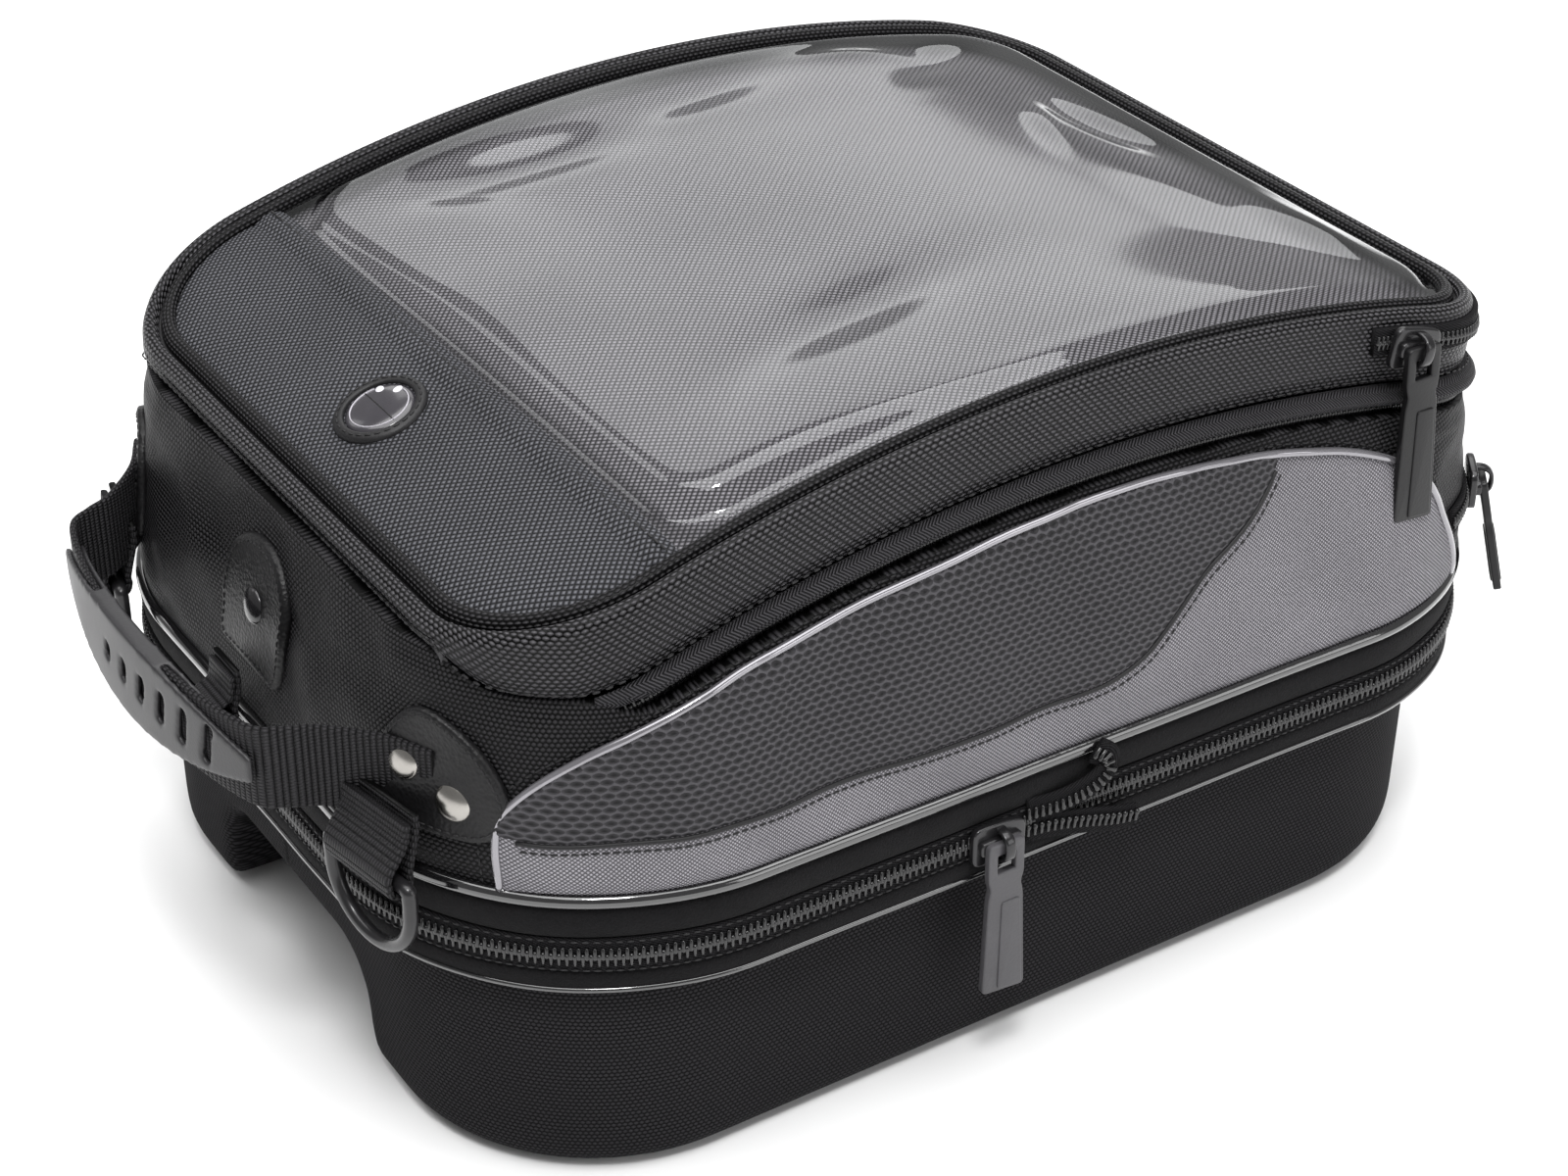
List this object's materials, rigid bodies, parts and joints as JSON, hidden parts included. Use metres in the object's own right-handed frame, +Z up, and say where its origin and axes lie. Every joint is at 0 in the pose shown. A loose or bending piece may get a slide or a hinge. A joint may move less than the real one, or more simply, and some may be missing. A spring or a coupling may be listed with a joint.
{
  "type": "motorcycle tank bag",
  "caption": "Soft tank bag with a saddle-shaped moulded base, zip-on upper bag, arched lid with a clear map window, carry handle and strap rings.",
  "frame": {"origin": "under the middle of the bag, on the plane of the base's two leg faces", "axes": "+Z up, +X towards the rider (the rear), -X towards the handle (the front); the side with the waist slider is -Y"},
  "size_m": [0.3965, 0.2962, 0.2031],
  "materials": {
    "moulded_black": "fine black stretch cloth over moulded foam",
    "tunnel_rubber": "matt ribbed anti-slip sheet",
    "edge_felt": "black brushed edge tape",
    "zip_coil": "black nylon coil on woven tape",
    "ribbed_black": "black ribbed nylon",
    "grey_cloth": "mid-grey ribbed nylon",
    "dark_insert": "charcoal embossed grip cloth",
    "silver_piping": "glossy silver cord piping",
    "black_piping": "glossy black cord piping",
    "lining": "dark lining over board",
    "foam": "closed-cell foam",
    "leather_black": "smooth black leather, edge stitched",
    "rivet_nickel": "polished nickel",
    "rivet_black": "gloss black",
    "webbing": "black ribbed webbing",
    "grip_rubber": "satin moulded rubber",
    "dotted_black": "black dotted weave",
    "ballistic_black": "ballistic nylon, dark",
    "ballistic_grey": "ballistic nylon, grey",
    "clear_film": "clear glossy film",
    "herringbone": "black herringbone tape over cord",
    "port_rubber": "black rubber flange",
    "port_gloss": null,
    "ring_black": "gloss black coating",
    "zip_metal": "black enamel",
    "puller_plastic": "satin dark grey"
  },
  "bodies": {
    "base": {"base_shell": "moulded_black", "tunnel_mat": "tunnel_rubber", "base_rim": "edge_felt", "waist_zip_lower": "zip_coil", "zip_tail_lower": "zip_coil"},
    "bag": {"front_panel": "ribbed_black", "rear_panel": "ribbed_black", "near_side_panel": "grey_cloth", "near_side_insert": "dark_insert", "far_side_panel": "grey_cloth", "far_side_insert": "dark_insert", "near_side_piping": "silver_piping", "far_side_piping": "silver_piping", "waist_zip_upper": "zip_coil", "waist_band": "edge_felt", "waist_piping": "black_piping", "zip_tail_upper": "zip_coil", "bag_floor": "lining", "lid_zip_lower": "zip_coil", "near_patch": "leather_black", "far_patch": "leather_black", "centre_patch": "leather_black", "patch_rivets": "rivet_nickel", "centre_rivet": "rivet_black", "near_ring_webbing": "webbing", "far_ring_webbing": "webbing", "centre_ring_webbing": "webbing", "rear_pocket_zip": "zip_coil"},
    "lid": {"lid_wall": "dotted_black", "outer_roll": "dotted_black", "inner_roll": "dotted_black", "front_band": "ballistic_black", "map_window": "clear_film", "pocket_floor": "ballistic_grey", "lid_foam": "foam", "lid_lining": "lining", "lid_welt": "herringbone", "lid_zip_upper": "zip_coil", "map_zip": "zip_coil", "port_ring": "port_rubber", "port_disc": "port_gloss"},
    "handle": {"handle_webbing": "webbing", "handle_grip": "grip_rubber"},
    "near_ring": {"near_ring": "ring_black"},
    "far_ring": {"far_ring": "ring_black"},
    "front_ring": {"front_ring": "ring_black"},
    "waist_slider": {"waist_slider": "zip_metal"},
    "waist_puller": {"waist_puller": "puller_plastic"},
    "map_slider": {"map_slider": "zip_metal"},
    "map_puller": {"map_puller": "puller_plastic"},
    "lid_slider": {"lid_slider": "zip_metal"},
    "lid_puller": {"lid_puller": "puller_plastic"},
    "pocket_slider": {"pocket_slider": "zip_metal"},
    "pocket_puller": {"pocket_puller": "puller_plastic"}
  },
  "joints": [
    {"name": "bag_lift", "type": "slide", "parent": "base", "child": "bag", "axis": [0, 0, 1], "range_m": [0, 0.18]},
    {"name": "lid_hinge", "type": "hinge", "parent": "bag", "child": "lid", "pos_m": [-0.1565, 0, 0.159], "axis": [0, -1, 0], "range_deg": [0, 100]},
    {"name": "handle_swing", "type": "hinge", "parent": "bag", "child": "handle", "pos_m": [-0.179, 0, 0.121], "axis": [0, 1, 0], "range_deg": [0, 70]},
    {"name": "near_ring_swing", "type": "hinge", "parent": "bag", "child": "near_ring", "pos_m": [-0.17273, -0.086, 0.1], "axis": [-0.1736, 0.9848, 0], "range_deg": [0, 100]},
    {"name": "far_ring_swing", "type": "hinge", "parent": "bag", "child": "far_ring", "pos_m": [-0.17273, 0.086, 0.1], "axis": [0.1736, 0.9848, 0], "range_deg": [0, 100]},
    {"name": "front_ring_swing", "type": "hinge", "parent": "bag", "child": "front_ring", "pos_m": [-0.1765, 0, 0.0995], "axis": [0, 1, 0], "range_deg": [0, 85]},
    {"name": "waist_slider_run", "type": "slide", "parent": "bag", "child": "waist_slider", "axis": [-1, 0, 0], "range_m": [0, 0.072]},
    {"name": "waist_puller_swing", "type": "hinge", "parent": "waist_slider", "child": "waist_puller", "pos_m": [-0.014, -0.1445, 0.0781], "axis": [-1, 0, 0], "range_deg": [0, 150]},
    {"name": "map_slider_run", "type": "slide", "parent": "lid", "child": "map_slider", "axis": [0.9777, 0, -0.2098], "range_m": [0, 0.01]},
    {"name": "map_puller_swing", "type": "hinge", "parent": "map_slider", "child": "map_puller", "pos_m": [0.131, -0.1331, 0.1815], "axis": [-1, 0, 0], "range_deg": [0, 150]},
    {"name": "lid_slider_run", "type": "hinge", "parent": "bag", "child": "lid_slider", "pos_m": [0.0298, 0, -0.2829], "axis": [0, 1, 0], "range_deg": [0, 28]},
    {"name": "lid_puller_swing", "type": "hinge", "parent": "lid_slider", "child": "lid_puller", "pos_m": [-0.1, 0.138, 0.15284], "axis": [1, 0, 0], "range_deg": [0, 140]},
    {"name": "pocket_slider_run", "type": "hinge", "parent": "bag", "child": "pocket_slider", "pos_m": [0.12541, -0.07155, 0.117], "axis": [0, 0, 1], "range_deg": [0, 38]},
    {"name": "pocket_puller_swing", "type": "hinge", "parent": "pocket_slider", "child": "pocket_puller", "pos_m": [0.18128, -0.1152, 0.117], "axis": [-0.6157, -0.788, 0], "range_deg": [0, 135]}
  ]
}
